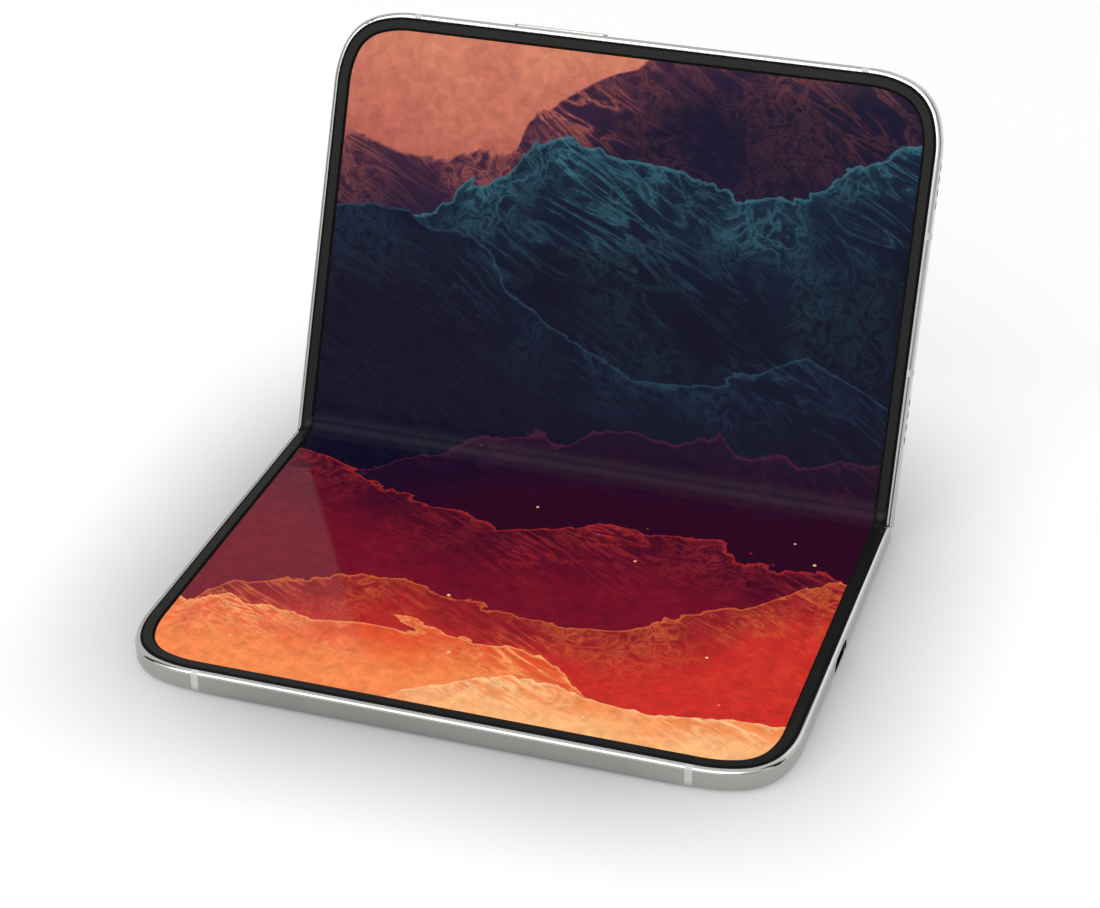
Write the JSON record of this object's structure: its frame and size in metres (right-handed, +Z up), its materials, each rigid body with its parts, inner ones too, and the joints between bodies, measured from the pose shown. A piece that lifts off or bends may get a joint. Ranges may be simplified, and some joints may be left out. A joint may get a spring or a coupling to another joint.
{
  "type": "foldable smartphone",
  "caption": "Book-style folding phone, half open: two slim metal-framed halves with one bending inner screen on a geared hinge, an outer screen and rear cameras.",
  "frame": {"origin": "centre of the lower half's underside, on the face that it rests on", "axes": "+X along the hinge, +Y from the lower half's free edge to the hinge, +Z up out of the lower half's screen"},
  "size_m": [0.1209, 0.1202, 0.083],
  "materials": {
    "frame": "polished",
    "antenna": "matte",
    "plate": "satin",
    "steel": "satin",
    "screen": "gloss",
    "bezel": "satin",
    "backing": "matte",
    "outer_glass": "gloss",
    "back_glass": "satin",
    "plateau": "satin",
    "ring": "polished",
    "lens": "gloss",
    "camera": "matte",
    "flash": "gloss",
    "cell": "satin",
    "board": "satin",
    "shield": "satin",
    "port": "satin",
    "tongue": "matte",
    "speaker": "matte",
    "mesh": "satin",
    "coil": "satin",
    "spine": "polished",
    "gear": "satin",
    "flex": "satin",
    "key": "polished"
  },
  "bodies": {
    "lower_half": {"lower_frame": "frame", "lower_antenna_bands": "antenna", "lower_midplate": "plate", "lower_fold_plate": "steel", "lower_screen_backing": "backing", "lower_display_panel": "screen", "lower_bezel": "bezel", "display_fold_lower": "screen", "bezel_fold_lower": "bezel", "hinge_flex_lower": "flex", "cover_glass": "outer_glass", "cover_display": "backing", "cover_camera": "camera", "lower_battery": "cell", "sub_board": "board", "usb_receptacle": "port", "usb_tongue": "tongue", "lower_speaker": "speaker", "lower_swing_arms": "gear"},
    "hinge_spine": {"spine_cover": "spine", "spine_end_caps": "spine", "hinge_brackets": "gear"},
    "first_idlers": {"first_idler_gears": "gear"},
    "second_idlers": {"second_idler_gears": "gear"},
    "upper_half": {"upper_frame": "frame", "upper_antenna_bands": "antenna", "upper_midplate": "plate", "upper_fold_plate": "steel", "upper_screen_backing": "backing", "upper_display_panel": "screen", "upper_bezel": "bezel", "display_fold_upper": "screen", "bezel_fold_upper": "bezel", "hinge_flex_upper": "flex", "back_glass": "back_glass", "camera_plateau": "plateau", "camera_rings": "ring", "camera_lenses": "lens", "camera_modules": "camera", "flash_lens": "flash", "upper_battery": "cell", "main_board": "board", "shield_cans": "shield", "charging_coil": "coil", "upper_speaker": "speaker", "speaker_mesh": "mesh", "vibration_motor": "shield", "key_switches": "tongue", "upper_swing_arms": "gear"},
    "power_button": {"power_key": "key"},
    "volume_button": {"volume_key": "key"}
  },
  "joints": [
    {"name": "spine_turn", "type": "hinge", "parent": "lower_half", "child": "hinge_spine", "pos_m": [0, 0.04105, 0.0036], "axis": [1, 0, 0], "range_deg": [-34, 56], "deforming": ["display_fold_lower", "bezel_fold_lower", "hinge_flex_lower"]},
    {"name": "upper_turn", "type": "hinge", "parent": "hinge_spine", "child": "upper_half", "pos_m": [0, 0.04354, 0.00528], "axis": [1, 0, 0], "range_deg": [-34, 56], "deforming": ["display_fold_upper", "bezel_fold_upper", "hinge_flex_upper"]},
    {"name": "first_idler_turn", "type": "hinge", "parent": "hinge_spine", "child": "first_idlers", "pos_m": [0.031, 0.0424, 0.00294], "axis": [1, 0, 0], "range_deg": [-34, 56]},
    {"name": "second_idler_turn", "type": "hinge", "parent": "hinge_spine", "child": "second_idlers", "pos_m": [0.031, 0.04364, 0.00378], "axis": [1, 0, 0], "range_deg": [-56, 34]},
    {"name": "power_press", "type": "slide", "parent": "upper_half", "child": "power_button", "axis": [0, -0.3746, -0.9272], "range_m": [0, 0.00025], "stiffness_N_per_m": 800},
    {"name": "volume_press", "type": "slide", "parent": "upper_half", "child": "volume_button", "axis": [1, 0, 0], "range_m": [0, 0.00025], "stiffness_N_per_m": 800}
  ],
  "couplings": [
    {"joint": "spine_turn", "follows": "upper_turn", "ratio": 1},
    {"joint": "first_idler_turn", "follows": "upper_turn", "ratio": 1},
    {"joint": "second_idler_turn", "follows": "upper_turn", "ratio": -1}
  ]
}
